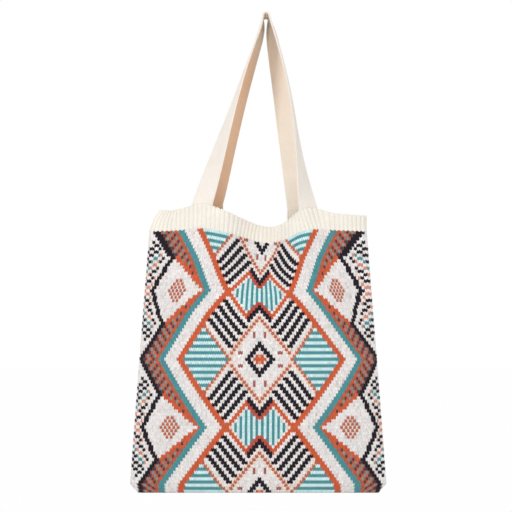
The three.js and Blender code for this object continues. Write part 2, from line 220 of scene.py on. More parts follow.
def makePiece(name, points, triangles, material, colours=None, uv=None, furrow=None):
    # A mesh from arrays: points in millimetres, triangles, one colour for each triangle, and a
    # map place and a furrow depth for each point
    mesh = bpy.data.meshes.new(name)
    mesh.vertices.add(len(points))
    mesh.vertices.foreach_set("co", (points * millimetre).astype(np.float32).ravel())
    mesh.loops.add(triangles.size)
    mesh.loops.foreach_set("vertex_index", triangles.astype(np.int32).ravel())
    mesh.polygons.add(len(triangles))
    mesh.polygons.foreach_set("loop_start", np.arange(0, triangles.size, 3, dtype=np.int32))
    mesh.update(calc_edges=True)
    mesh.validate()
    mesh.shade_smooth()
    if colours is not None:
        yarn = mesh.color_attributes.new("yarn", "FLOAT_COLOR", "CORNER")
        corners = np.repeat(np.column_stack([colours, np.ones(len(colours))]), 3, axis=0)
        yarn.data.foreach_set("color", corners.astype(np.float32).ravel())
    if uv is not None:
        layer = mesh.uv_layers.new(name="stitches")
        layer.data.foreach_set("uv", uv[triangles.ravel()].astype(np.float32).ravel())
    if furrow is not None:
        depth = mesh.attributes.new("furrow", "FLOAT", "POINT")
        depth.data.foreach_set("value", furrow.astype(np.float32).ravel())
    piece = bpy.data.objects.new(name, mesh)
    piece.data.materials.append(material)
    bpy.context.scene.collection.objects.link(piece)
    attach(piece, "root")
    return piece


def addNode(tree, kind, values=None, links=None, **settings):
    # one node with its settings, its fixed inputs and its links
    node = tree.nodes.new(kind)
    for key, value in settings.items():
        setattr(node, key, value)
    for key, value in (values or {}).items():
        node.inputs[key].default_value = value
    for key, source in (links or {}).items():
        tree.links.new(source, node.inputs[key])
    return node


# Camera: level with the middle of the photograph, far enough back for a long lens
camera = {
    "frame": 0.71885,  # side of the picture at the front of the bag, m
    "lens": 110,  # mm, as the sensor
    "sensor": 36,
    "reach": 50,  # m
    "x": -0.01404,
    "z": -0.3398,
    "frontY": -0.02,
}
cameraData = bpy.data.cameras.new("camera")
cameraData.lens = camera["lens"]
cameraData.sensor_width = camera["sensor"]
cameraData.clip_end = camera["reach"]
cameraObject = bpy.data.objects.new("camera", cameraData)
cameraDistance = camera["frame"] * camera["lens"] / camera["sensor"]
cameraObject.location = (camera["x"], camera["frontY"] - cameraDistance, camera["z"])
cameraObject.rotation_euler = (math.pi / 2, 0, 0)
bpy.context.scene.collection.objects.link(cameraObject)
bpy.context.scene.camera = cameraObject
bpy.context.scene.view_settings.view_transform = "Standard"
print("camera placed", round(cameraDistance, 3), "m in front")


# Yarns of the jacquard, as the light of the photograph shows them
yarnColours = {
    "undyed": "#F1ECEA",
    "orange": "#D4613C",
    "brick": "#C25645",
    "faded": "#C26D53",  # thin lines, where the ground shows between the stitches
    "blush": "#F5DED2",  # ground stitches beside the thin lines
    "tick": "#A9675E",
    "teal": "#4F969D",
    "mint": "#D8F3F4",
    "navy": "#1F1822",
    "rust": "#AC6650",
    "slate": "#8B9593",
    "umber": "#543F49",
    "coral": "#DC947C",
}
yarnNames = list(yarnColours)
yarnTable = np.array([linearColour(code) for code in yarnColours.values()])


# The jacquard in counts of stitches: "around" is the sum of the wales from the middle one and the
# courses from the nearest row of medallions, "lean" is their difference, and a pair holds the
# first and the last count
pattern = {
    "repeat": 42,  # courses from one row of medallions to the next
    "medallionCourse": 39,
    "cutCourse": 3,  # the medallion that the mouth cuts: its last course and outermost wale
    "cutWale": 6,
    "cross": 2,
    "ring": (4, 5),  # around
    "tickNear": 2,  # ticks stand this far from one middle line and so far from the other
    "tickFar": (7, 8),
    "outline": 13,
    "outlineLean": 12,  # where the outline ends at the rhombus, which has its own line there
    "slantAround": (15, 32),
    "slantLean": (-6, 8),
    "slantPitch": 4,
    "knot": 4,  # half width of the knot of the bow tie
    "chevron": (16, 17),
    "tieEdge": (-9, -8),  # lean
    "tieEdgeEnd": 34,
    "tieStart": 20,
    "tieMiddle": 19,  # course
    "tieLean": -11,
    "tieHalf": 9,  # wales to each side
    "orangeZigzag": (33, 35),
    "tealZigzag": (42, 44),
    # rows along the diagonal beyond the teal zigzag, each of two yarns in turn
    "melange": (
        ("orange", "rust"), ("orange", "rust"), ("slate", "umber"), ("rust", "orange"),
        ("umber", "slate"), ("rust", "orange"), ("slate", "umber"), ("rust", "umber"),
    ),
    "waistCourse": 11,  # from here on towards the middle between two rows of medallions
    "diamondTip": 25,  # wale, and wales for each course away from the middle of the diamond
    "diamondSlope": 1.7,
    "diamondFringe": 4,
    "diamondEdge": 2.5,
    "latticeMiddle": 37,
    "latticeSlope": 0.9,
    "latticeHalf": 4.6,
    "latticeCourse": 18,
    "lineWale": 42,  # navy line at the waist, and wales for each course from its start
    "lineSlope": 0.75,
    "thickCourses": 14,
    "gapLeast": 2,  # undyed wales between the navy line and the checks
    "gapSlope": 0.25,
    "gapOutside": 4,
    "checkLean": 46,
    "checkWales": 2,
    # yarns of the checks by their lean, from the first count to before the second
    "checkYarns": ((0, 32, "navy"), (32, 34, "coral"), (34, 37, "navy"), (37, 39, "coral"),
                   (39, 41, "teal"), (41, 47, "navy")),
}


def between(count, ends):
    # counts from the first to the last of a pair
    return (count >= ends[0]) & (count <= ends[1])


def jacquardChart():
    # The yarn of every stitch of a face. j is the course, m the count of wales from the middle
    # wale and k the count of courses from the nearest row of medallion centres, folded there.
    j, i = np.indices((tube["courses"], tube["wales"]))
    m = np.abs(i - tube["wales"] // 2)
    turn = (j - pattern["medallionCourse"]) % pattern["repeat"]
    k = np.minimum(turn, pattern["repeat"] - turn)
    cut = (j <= pattern["cutCourse"]) & (m <= pattern["cutWale"])
    k = np.where(cut, k - 1, k)  # the cut medallion sits one course lower
    around, lean = m + k, m - k
    even = k % 2 == 0
    toMiddle = pattern["repeat"] // 2 - k
    chart = np.zeros_like(m)

    def lay(where, yarn):
        chart[where] = yarnNames.index(yarn)

    # medallion: cross, ring, ticks and outline with its blush
    lay((k == 0) & (m <= pattern["cross"]) | (k == 1) & (m == 1), "orange")
    lay((k == 1) & (m == 0), "coral")
    lay(between(around, pattern["ring"]), "navy")
    lay((m == pattern["tickNear"]) & between(k, pattern["tickFar"]), "tick")
    lay(((k == pattern["tickNear"]) | (j == 0)) & between(m, pattern["tickFar"]), "tick")
    onOutline = lean <= pattern["outlineLean"]
    lay(onOutline & (np.abs(around - pattern["outline"]) == 1), "blush")
    lay(onOutline & (around == pattern["outline"]), "faded")
    # slanting stripes round the medallion
    slanting = between(around, pattern["slantAround"]) & between(lean, pattern["slantLean"])
    lay(slanting & ((lean + 1) % pattern["slantPitch"] < pattern["slantPitch"] // 2), "navy")
    # rhombus of level stripes beside the medallion, with its thin inner line
    inRhombus = around <= pattern["slantAround"][1]
    lay(inRhombus & (lean > pattern["outlineLean"]) & even, "teal")
    lay(inRhombus & (lean > pattern["outlineLean"]) & ~even, "mint")
    lay(inRhombus & (lean == pattern["outlineLean"] - 1), "blush")
    lay(inRhombus & (lean == pattern["outlineLean"]), "faded")
    # bow tie between two medallions: chevron, edge and upright stripes
    atKnot = m <= pattern["knot"]
    lay(atKnot & between(around, pattern["chevron"]), "navy")
    lay(atKnot & (around > pattern["chevron"][1]), "brick")
    lay(~atKnot & between(lean, pattern["tieEdge"]) & (around <= pattern["tieEdgeEnd"]), "orange")
    inTie = ~atKnot | (around >= pattern["tieStart"]) | (m == 0) & (k >= pattern["tieMiddle"])
    inTie &= (lean <= pattern["tieLean"]) & (m <= pattern["tieHalf"])
    lay(inTie & (m % 2 == 1), "teal")
    lay(inTie & (m % 2 == 0), "mint")
    # zigzag bands, and the melange beyond them
    lay(between(around, pattern["orangeZigzag"]), "orange")
    lay(between(around, pattern["tealZigzag"]), "teal")
    melangeStart = pattern["tealZigzag"][1] + 1
    for row, (yarn, other) in enumerate(pattern["melange"]):
        lay(around == melangeStart + row, yarn)
        lay((around == melangeStart + row) & even, other)
    # side diamonds with their edge and their lattice
    waist = k >= pattern["waistCourse"]
    edge = m - pattern["diamondTip"] - pattern["diamondSlope"] * toMiddle
    inWaist = waist & (around >= melangeStart)
    lay(inWaist & (edge > -pattern["diamondFringe"]) & (m % 2 == 0), "orange")
    lay(inWaist & (edge > -pattern["diamondEdge"]), "orange")
    lay(inWaist & (edge >= 0), "undyed")
    fromLattice = np.abs(m - pattern["latticeMiddle"]) + pattern["latticeSlope"] * toMiddle
    lattice = (fromLattice <= pattern["latticeHalf"]) & (k >= pattern["latticeCourse"])
    lay(lattice & (around % 2 == 0), "faded")
    # navy line and the checks outside it
    atWaist = np.floor(m - pattern["lineWale"] - pattern["lineSlope"] * (k - pattern["waistCourse"]))
    beyond = np.where(waist, atWaist, around - melangeStart - len(pattern["melange"]))
    lay(beyond >= 0, "undyed")
    thick = ~waist & (j < pattern["thickCourses"])
    lay((beyond == 0) | (beyond == 1) | (beyond == 2) & thick, "navy")
    gap = np.where(waist, pattern["gapLeast"] + pattern["gapSlope"] * toMiddle, pattern["gapOutside"])
    checks = (beyond >= gap) & ((m // pattern["checkWales"] + k) % 2 == 0)
    checks &= waist | (lean <= pattern["checkLean"])
    for first, past, yarn in pattern["checkYarns"]:
        lay(checks & (lean >= first) & (lean < past), yarn)
    return chart


stitch = {
    "leg": 0.8,  # height of the middle of a leg over the furrows, mm
    "tip": 0.5,
    "top": 0.35,
    "short": 0.33,  # how much less than half a course a leg reaches past its own course, in courses
    "uneven": 0.13,
    "swell": 0.25,  # how far a stitch of a dark or single line spreads over its neighbour, in wales
    "inside": -1.2,
    # how much wider the wales stand in the middle of a face than at its sides, by the depth
    # below the mouth in mm; the two lists are for the left and the right half
    "spreadAt": (0, 40, 83, 115, 182, 275, 372),
    "spread": (
        (-0.15, -0.05, 0.19, 0.28, 0.16, 0.19, 0.16), (-0.24, -0.16, 0.13, 0.2, 0.31, 0.22, 0.15),
    ),
    # how much wider the outermost wales stand than those beside them, on the same levels
    "edgeSpread": ((0, 0, 0.2, 0.1, 0, 0, 0), (0.3, 0.6, 1.2, 0.8, 0, -0.2, -0.2)),
    "sideShare": 0.3,  # how much of its depth the turn at a side counts for the wales laid on it
    # the gather in the mouth draws the middle wales aside and apart
    "mouthShift": 0.028,  # in half widths
    "mouthSpread": 0.28,
    "mouthHalf": 0.25,
    "mouthReach": 45,
    "tint": 0.025,  # how much one stitch is lighter or darker than the next
    "grain": 0.09,  # how much the quarters of a stitch differ
    "flecks": 0.1,
    "fleckColours": ("#DDD8D6", "#EEDFD9", "#DFE6E3"),
    "behind": ("orange", "teal", "navy"),  # yarns that show on the reverse
    "behindShares": (0.5, 0.12),
    "insideFurrow": 0.4,
    "seed": 11,
}


def stitchColours(chart, random):
    # The yarn colour of each stitch: slightly lighter or darker from stitch to stitch, and on
    # the undyed ground now and then a fleck of the yarns that float behind
    colours = yarnTable[chart]
    flecks = np.array([linearColour(code) for code in stitch["fleckColours"]])
    fleck = (random.random(chart.shape) < stitch["flecks"]) & (chart == 0)
    colours = np.where(fleck[..., None], flecks[random.integers(0, len(flecks), chart.shape)], colours)
    return colours * (1 + stitch["tint"] * random.standard_normal(chart.shape))[..., None]


def reverseColours(chart):
    # The birdseye reverse: the ground with the yarns that float behind it, in turn, which show
    # more in every second stitch
    j, i = np.indices(chart.shape)
    floats = np.array([yarnNames.index(name) for name in stitch["behind"]])
    behind = floats[(i + 2 * j) % len(floats)]
    share = np.where((i + j) % 2 == 0, *stitch["behindShares"])[..., None]
    return mixed(yarnTable[0], yarnTable[behind], share)


def yarnSwell(chart):
    # How far each grid point shifts sideways, in wales, for these yarns to spread: whole at the
    # line between two wales, half beside it, and the mean of two courses at the line between them
    dark = np.isin(chart, [yarnNames.index(name) for name in ("navy", "faded")]).astype(float)
    push = np.zeros((dark.shape[0], dark.shape[1] + 1))
    push[:, 1:-1] = stitch["swell"] * (dark[:, :-1] - dark[:, 1:])
    rows = np.zeros((2 * push.shape[0] + 1, push.shape[1]))
    rows[1::2] = push
    rows[2:-1:2] = (push[:-1] + push[1:]) / 2
    columns = np.zeros((rows.shape[0], 4 * dark.shape[1] + 1))
    columns[:, ::4] = rows
    columns[:, 1::4] = rows[:, :-1] / 2
    columns[:, 3::4] = rows[:, 1:] / 2
    return columns


def closingTriangles(outer, inner, each, flip):
    # Joins a fine edge to a coarse one that has one step for each few steps of the fine one
    steps = len(inner) - 1
    whole = outer[:-1].reshape(steps, each)
    following = outer[1:].reshape(steps, each)
    half = each // 2
    first = np.stack([whole[:, :half], following[:, :half], np.repeat(inner[:-1, None], half, 1)], -1)
    second = np.stack([whole[:, half:], following[:, half:], np.repeat(inner[1:, None], each - half, 1)], -1)
    middle = np.stack([following[:, half - 1], inner[1:], inner[:-1]], -1)
    triangles = np.concatenate([first.reshape(-1, 3), second.reshape(-1, 3), middle])
    return triangles[:, ::-1] if flip else triangles


def stitchRelief(random):
    # the legs of all stitches, each a little higher or lower, but not along the edges
    rows, columns = 2 * tube["courses"] + 1, 4 * tube["wales"] + 1
    wobble = 1 + stitch["uneven"] * random.standard_normal((rows, columns))
    wobble[:, [0, -1]] = 1
    wobble[[0, -1]] = 1
    return legLattice(rows, columns, stitch["leg"], stitch["tip"], stitch["top"]) * wobble


def walesAlong(face, place, below, line):
    # The wales that places from -1 to 1 across a face fall on. A place is moved by itself times
    # 1 - |place| times the spread of its half, less edge spread times place^6, and near the
    # middle of the mouth by the shift and the mouth's spread under a bell curve.
    def ofHalf(pair):
        left, right = [np.interp(below, stitch["spreadAt"], values) for values in pair]
        return np.where(place < 0, left, right) if face == 0 else np.where(place < 0, right, left)

    spread, edgeSpread = ofHalf(stitch["spread"]), ofHalf(stitch["edgeSpread"])
    bent = place + (spread - edgeSpread * place**6) * place * (1 - np.abs(place))
    bell = np.exp(-((place / stitch["mouthHalf"]) ** 2) - (below / stitch["mouthReach"]) ** 2)
    bent += (stitch["mouthShift"] + stitch["mouthSpread"] * place) * bell
    return np.interp((face + (bent + 1) / 2) * tube["wales"], line["flatWale"], line["wale"])


def panelPoints(face, chart, relief):
    # The points outside, with four columns to a wale and two rows to a course, and those inside,
    # with one of each. The fold at the bottom is a quarter round, with its corners cut.
    rows, columns = relief.shape
    row, column = np.arange(rows)[:, None] % 2, np.arange(columns)[None, :] % 4
    shift = np.where((row == 1) & (column == 2), -stitch["short"], 0.0)
    shift = np.where((row == 1) & (column == 0), stitch["short"], shift)
    swell = yarnSwell(chart)
    place = np.linspace(-1, 1, columns)
    outer = np.zeros((rows, columns, 3))
    inner = np.zeros((tube["courses"] + 1, tube["wales"] + 1, 3))
    for r in range(rows):
        below = r / 2 * tube["courseHeight"]
        line = levelLine(below)
        around = walesAlong(face, place, below, line)
        share = linePoints(line, around)[2]
        opening = min(1, (tube["courses"] - r / 2) / tube["cornerCourses"])
        narrow = 1 - (1 - opening) * tube["cornerCut"] / line["halfWidth"]
        rounding = math.sqrt(1 - (1 - opening) ** 2)
        x, y, _ = linePoints(line, around + swell[r], tube["wall"] / 2 + relief[r])
        z = bodyZ(share, below) - shift[r] * tube["courseHeight"]
        outer[r] = np.stack([tube["centreX"] + x * narrow, y * rounding, z], -1)
        if r % 2 == 0:
            x, y, _ = linePoints(line, around[::4], stitch["inside"])
            z = bodyZ(share[::4], min(below, bodyHeight - tube["floorThickness"]))
            inner[r // 2] = np.stack([tube["centreX"] + x * narrow, y * rounding, z], -1)
    return outer, inner


def cellColours(cells, chart, random):
    # The colour of each triangle outside. A stitch owns the triangles between its legs' edges,
    # some of which lie half a course above or below its own two rows.
    r, c, lowerUpper = np.indices(cells.shape[:3])
    besideMiddle = np.isin(c % 4, (1, 2))
    owner = r // 2
    owner = np.where((r % 2 == 0) & besideMiddle & (lowerUpper == 1), owner - 1, owner)
    owner = np.where((r % 2 == 1) & ~besideMiddle & (lowerUpper == 0), owner + 1, owner)
    colours = stitchColours(chart, random)[np.clip(owner, 0, tube["courses"] - 1), c // 4]
    return colours * (1 + stitch["grain"] * random.standard_normal(cells.shape[:2]))[:, :, None, None]


def knitPanel(name, face, material):
    # Half of the knitted tube as a closed skin: the stitches outside, a plain reverse inside and
    # the edges between them
    random = np.random.default_rng(stitch["seed"] + face)
    chart = jacquardChart()
    relief = stitchRelief(random)
    outer, inner = panelPoints(face, chart, relief)
    outerIds = np.arange(relief.size).reshape(relief.shape)
    innerIds = relief.size + np.arange(inner[..., 0].size).reshape(inner.shape[:2])
    cells = latticeTriangles(outerIds)
    reverse = latticeTriangles(innerIds)[..., ::-1]
    edges = np.concatenate([
        closingTriangles(outerIds[0], innerIds[0], 4, False),
        closingTriangles(outerIds[-1], innerIds[-1], 4, True),
        closingTriangles(outerIds[:, 0], innerIds[:, 0], 2, True),
        closingTriangles(outerIds[:, -1], innerIds[:, -1], 2, False),
    ])
    triangles = np.concatenate([cells.reshape(-1, 3), reverse.reshape(-1, 3), edges])
    colours = np.concatenate([
        cellColours(cells, chart, random).reshape(-1, 3),
        np.repeat(reverseColours(chart).reshape(-1, 3), 2, axis=0),
        np.tile(yarnTable[0], (len(edges), 1)),
    ])
    points = np.concatenate([outer.reshape(-1, 3), inner.reshape(-1, 3)])
    v, u = np.indices(outerIds.shape)
    innerV, innerU = np.indices(innerIds.shape)
    uv = np.concatenate([
        np.stack([u / 4, -v / 2], -1).reshape(-1, 2), np.stack([innerU, -innerV], -1).reshape(-1, 2),
    ])
    # furrow depth of each point, which the material darkens as painted shade
    depth = 1 - np.clip(relief / stitch["leg"], 0, 1)
    furrow = np.concatenate([depth.ravel(), np.full(innerIds.size, stitch["insideFurrow"])])
    piece = makePiece(name, points, triangles, material, colours, uv, furrow)
    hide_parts("jacquard_body")
    print(name, len(triangles), "triangles")


# Shares of a full, smooth colour or height, unless a comment says otherwise
cotton = {
    "noiseRange": (0.3, 0.7),  # the part of a noise that its shades are spread over
    "tuftShades": (0.9, 1.06),
    "patchShades": (0.97, 1.02),
    # painted shade: from hollowFrom down to the bottom of a furrow the colour darkens to hollowShade
    "hollowFrom": 0.45,
    "hollowShade": 0.9,
    "plyHeight": 0.5,
    "plyBend": 1.2,
    "bump": 0.35,
    "bumpHeight": 0.4,  # mm
    "roughness": 0.92,
    "specular": 0.25,
    "sheen": 0.18,
    "sheenRoughness": 0.5,
}


def cottonMaterial(name, colour, plyPitch, tuft, patch):
    # Cotton yarn, machine knitted: matt, with soft fibres that catch light at a grazing angle.
    # The twist of the yarn is drawn plyPitch of a stitch wide, coarser than the real 0.5 mm, and
    # the fibres as tufts of so many mm, because single fibres of 0.02 mm wouldn't show. Patches
    # of so many mm are a little lighter or darker, as dyed cotton is.
    material = bpy.data.materials.new(name)
    material.use_nodes = True
    tree = material.node_tree
    tree.nodes.clear()
    place = addNode(tree, "ShaderNodeTexCoord")
    stitches = addNode(tree, "ShaderNodeUVMap", uv_map="stitches")
    fibres = addNode(tree, "ShaderNodeTexNoise",
                     {"Scale": 1 / (tuft * millimetre), "Detail": 3, "Roughness": 0.6},
                     {"Vector": place.outputs["Object"]})
    patches = addNode(tree, "ShaderNodeTexNoise", {"Scale": 1 / (patch * millimetre), "Detail": 2},
                      {"Vector": place.outputs["Object"]})
    if colour is None:
        base = addNode(tree, "ShaderNodeAttribute", attribute_name="yarn").outputs["Color"]
    else:
        base = addNode(tree, "ShaderNodeRGB").outputs["Color"]
        base.default_value = (*linearColour(colour), 1)
    furrow = addNode(tree, "ShaderNodeAttribute", attribute_name="furrow")
    shades = []
    # the first two shades are the yarn's own tufts and patches; the third is painted shade, darker towards
    # the bottom of each furrow
    for source, ends, levels in (
            (fibres, cotton["noiseRange"], cotton["tuftShades"]),
            (patches, cotton["noiseRange"], cotton["patchShades"]),
            (furrow, (cotton["hollowFrom"], 1), (1, cotton["hollowShade"]))):
        values = {"From Min": ends[0], "From Max": ends[1], "To Min": levels[0], "To Max": levels[1]}
        shades.append(addNode(tree, "ShaderNodeMapRange", values, {"Value": source.outputs["Fac"]}))
    shade = shades[0]
    for other in shades[1:]:
        shade = addNode(tree, "ShaderNodeMath", {}, {0: shade.outputs[0], 1: other.outputs[0]},
                        operation="MULTIPLY")
    shaded = addNode(tree, "ShaderNodeVectorMath", {}, {0: base, "Scale": shade.outputs[0]},
                     operation="SCALE")
    ply = addNode(tree, "ShaderNodeTexWave",
                  {"Scale": 1 / plyPitch, "Distortion": cotton["plyBend"], "Detail": 1},
                  {"Vector": stitches.outputs["UV"]}, wave_type="BANDS", bands_direction="DIAGONAL")
    twist = addNode(tree, "ShaderNodeMath", {1: cotton["plyHeight"]}, {0: ply.outputs["Fac"]},
                    operation="MULTIPLY")
    height = addNode(tree, "ShaderNodeMath", {}, {0: twist.outputs[0], 1: fibres.outputs["Fac"]},
                     operation="ADD")
    bump = addNode(tree, "ShaderNodeBump",
                   {"Strength": cotton["bump"], "Distance": cotton["bumpHeight"] * millimetre},
                   {"Height": height.outputs[0]})
    surface = addNode(tree, "ShaderNodeBsdfPrincipled",
                      {"Roughness": cotton["roughness"], "Specular IOR Level": cotton["specular"],
                       "Sheen Weight": cotton["sheen"], "Sheen Roughness": cotton["sheenRoughness"]},
                      {"Base Color": shaded.outputs[0], "Normal": bump.outputs["Normal"]})
    addNode(tree, "ShaderNodeOutputMaterial", {}, {"Surface": surface.outputs["BSDF"]})
    return material


# Dyed yarns in thick stitches: bold flat colours with a lively, coarse grain
jacquardKnit = cottonMaterial("jacquard cotton knit", None, plyPitch=1.4, tuft=1.11, patch=22.2)
knitPanel("front_knit", 0, jacquardKnit)
knitPanel("back_knit", 1, jacquardKnit)


band = {
    "colour": "#F8F2E7",
    "courses": 10,
    "insideRows": 10,
    "boundTurns": (45, 90, 135),  # rows over the bound edge, degrees
    "overlap": 1.2,  # how far the band's lower edge laps the body, mm
    "columnPlaces": (0, 0.16, 0.33, 0.5, 0.66, 0.77, 0.83, 0.89),  # shares of a rib
    "columnHeights": (0.1, 0.85, 1, 0.85, 0.1, -0.7, -1, -0.7),  # shares of the rib depth
    "raisedColumns": 4,
    "leg": 0.3,
    "backLeg": 0.4,  # legs of the narrow wale, as a share of the others
    "scallop": 0.5,
    # where the straps draw the ribs aslant: wale of the front, half length and shift at the top, in wales
    "slants": ((81, 12, -3.3), (46, 13, 1.7)),
    "leftLean": 13,  # how far the top of the left end leans in, mm
    "leanReach": 0.3,  # in shares of the half width
    "leanPower": 1.5,
}


def ribbedBand(material):
    # The 1x1 rib as one closed ring: up the outside, over the bound edge and down the inside.
    # A rib is one raised wale of stitches and one narrow wale that lies back.
    ribs, each = tube["wales"], len(band["columnPlaces"])
    columns = each * ribs
    around = 2 * (np.tile(band["columnPlaces"], ribs) + np.repeat(np.arange(ribs), each))
    heights = np.tile(band["columnHeights"], ribs)
    outsideRows, halfWall = 2 * band["courses"], tube["bandWall"] / 2
    relief = plainLegs(outsideRows + 1, columns, band["leg"])
    relief = relief * np.where(np.arange(columns) % each < band["raisedColumns"], 1, band["backLeg"])
    rows = [(1 - r / outsideRows, halfWall + relief[r], 0) for r in range(outsideRows, -1, -1)]
    for turn in np.radians(band["boundTurns"]):
        rows.append((1, halfWall * math.cos(turn), halfWall * math.sin(turn)))
    rows += [(1 - r / band["insideRows"], -halfWall, 0) for r in range(band["insideRows"] + 1)]
    points = np.zeros((len(rows), columns, 3))
    for i, (level, offset, rise) in enumerate(rows):
        line = levelLine(0, mixed(1, tube["bandGather"], level))
        slanted = around + level * sum(reach * hump(around - at, half) for at, half, reach in band["slants"])
        x, y, share = linePoints(line, slanted, offset + heights * tube["ribDepth"])
        lean = band["leftLean"] * hump(share + 1, band["leanReach"]) * level ** band["leanPower"]
        low = bodyZ(share, 0) - band["overlap"]
        high = rimZ(share) - halfWall + band["scallop"] * heights
        points[i] = np.stack([tube["centreX"] + x + lean, y, mixed(low, high, level) + rise], -1)
    ids = np.arange(len(rows) * columns).reshape(len(rows), columns)
    ids = np.concatenate([ids, ids[:1]])
    ids = np.concatenate([ids, ids[:, :1]], axis=1)
    triangles = latticeTriangles(ids[::-1]).reshape(-1, 3)
    v, u = np.indices((len(rows), columns))
    uv = np.stack([u / 4, v / 2], -1).reshape(-1, 2)
    # furrow depth of each point, deepest between the ribs, which the material darkens as painted shade
    furrow = np.tile((1 - heights) / 2, len(rows))
    piece = makePiece("rib_knit_band", points.reshape(-1, 3), triangles, material, None, uv, furrow)
    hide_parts("ribbed_band")
    print("band", len(triangles), "triangles")


# Undyed cream yarn in thick ribs: one warm white, drawn only by the soft shadows between them
ribKnit = cottonMaterial("cream cotton rib knit", band["colour"], plyPitch=1.2, tuft=1.11, patch=22.2)
ribbedBand(ribKnit)


strapSizes = {
    "outside": "#FCF4EA",
    "inside": "#FDF2E3",
    "insideShaded": "#F0C9A8",  # painted shade: the inner face on the left leg, as the photograph shows it
    "shadedTo": 0.34,  # share of the strap's length, and the share over which the shade ends
    "shadedFade": 0.16,
    "width": 31,
    "thickness": 2.6,
    "middleShare": 0.86,  # thickness of the middle against that near the edges
    "footRise": 4,  # of the foot's end over the body
    "footClearTop": 1.5,  # how far the foot follows the band past its edge
    "hookRadius": 3,
    "spacing": 0.8,  # between the two straps on the hook
    "rootCurl": 0.25,  # share of a leg over which the curl of its root fades
    "footGap": 0.4,
    "wales": 14,
    "rowPitch": 1.25,  # of the grid, half a course
    "leg": 0.28,
    # share of the furrow depth that the material darkens as painted shade
    "furrow": 0.9,
    "footSteps": 8,
    "legSteps": 64,
    "hookSteps": 16,
    "wrinkle": 0.35,
    "wrinkleWaves": ((17, 0, 0.6), (7.3, 1.3, 0.25)),  # mm along the strap to a radian, phase, height
    "wrinkleBend": 1.5,  # radians from the middle to an edge
    "wrinkleFrom": 40,  # mm from an end, and the mm over which the wrinkles start
    "wrinkleFade": 60,
    "bowPower": 1.5,
    "pinchPower": 8,
    "closePower": 16,
}
# A leg's foot is a share of half the mouth, its bow and pinch are shares of the strap's width; it
# makes "hold" of its quarter turn on the way up and the rest close under the hook
strapPlans = {
    "front_strap": {
        "side": -1,
        "left": {"foot": -0.52, "hold": 0.98, "twist": 2.2, "bow": -0.017, "pinch": 0.067},
        "right": {"foot": 0.467, "hold": 0.93, "twist": 5, "bow": 0.245, "pinch": 0},
    },
    "back_strap": {
        "side": 1,
        "left": {"foot": -0.434, "hold": 0.77, "twist": 3, "bow": 0.044, "pinch": 0.067},
        "right": {"foot": 0.382, "hold": 0.62, "twist": 1.3, "bow": 0.026, "pinch": 0},
    },
}


def widthRow(middle, angle, across):
    # level points across a strap, turned by an angle round its middle
    width = np.array([math.cos(angle), math.sin(angle), 0])
    return middle + across[:, None] * width


def hookPoint(side, angle):
    # a point of the strap's middle on the bend over the hook, whose underside tops at height 0
    radius = strapSizes["hookRadius"] + strapSizes["thickness"] / 2
    y = side * (strapSizes["width"] + strapSizes["spacing"]) / 2
    return np.array([radius * math.cos(angle), y, radius * math.sin(angle) - strapSizes["hookRadius"]])


def footRow(plan, footX, leg, level, across, deeper=0.0):
    # a row across the foot, which follows the inside of the band
    line = levelLine(0, mixed(1, tube["bandGather"], level))
    half = slice(0, lineSteps + 1) if plan["side"] < 0 else slice(2 * lineSteps, lineSteps - 1, -1)
    middle = np.interp(footX, line["x"][half], line["wale"][half])
    pitch = line["pitches"][0 if plan["side"] < 0 else 1]
    inset = tube["bandWall"] / 2 + tube["ribDepth"] + strapSizes["footGap"] + strapSizes["thickness"] / 2
    x, y, share = linePoints(line, middle - plan["side"] * leg * across / pitch, -inset - deeper)
    return x + tube["centreX"], y, share


def legRows(plan, legPlan, leg, across):
    # Rows from the foot up to the hook. The width turns from along the mouth to along the hook,
    # by hold (1 - (1 - t)^twist) + (1 - hold) t^closePower of a quarter turn at the share t of
    # the way, and the curl that the band gives the root fades out.
    footX = legPlan["foot"] * tube["mouthWidth"] / 2
    edge = footRow(plan, footX, leg, 1, across)[2]
    low = np.max(bodyZ(edge, 0)) + strapSizes["footRise"]
    high = np.max(rimZ(edge)) + strapSizes["footClearTop"]
    rows = []
    for level in np.linspace(0, 1, strapSizes["footSteps"] + 1):
        x, y, _ = footRow(plan, footX, leg, level, across)
        rows.append(np.stack([x, y, np.full(len(x), mixed(low, high, level))], -1))
    root = rows[-1]
    centre = root[len(across) // 2]
    span = root[-1] - root[0]
    straight = 0 if leg > 0 else math.pi
    rootAngle = straight + math.atan2(leg * span[1], leg * span[0])
    hookAngle = straight + leg * plan["side"] * math.pi / 2
    lean = math.atan2(abs(centre[0]), -centre[2])
    end = hookPoint(plan["side"], math.pi - lean if leg > 0 else lean)
    flat = widthRow(centre, rootAngle, across)
    for t in np.linspace(0, 1, strapSizes["legSteps"] + 1)[1:]:
        middle = mixed(centre, end, t)
        bow = legPlan["bow"] * math.sin(math.pi * t ** strapSizes["bowPower"])
        pinch = leg * legPlan["pinch"] * math.sin(math.pi * t ** strapSizes["pinchPower"])
        middle[0] += strapSizes["width"] * (bow + pinch)
        held = legPlan["hold"] * (1 - (1 - t) ** legPlan["twist"])
        turn = held + (1 - legPlan["hold"]) * t ** strapSizes["closePower"]
        angle = mixed(rootAngle, hookAngle, turn)
        curl = max(0, 1 - t / strapSizes["rootCurl"]) ** 2
        rows.append(widthRow(middle, angle, across) + (root - flat) * curl)
    return rows


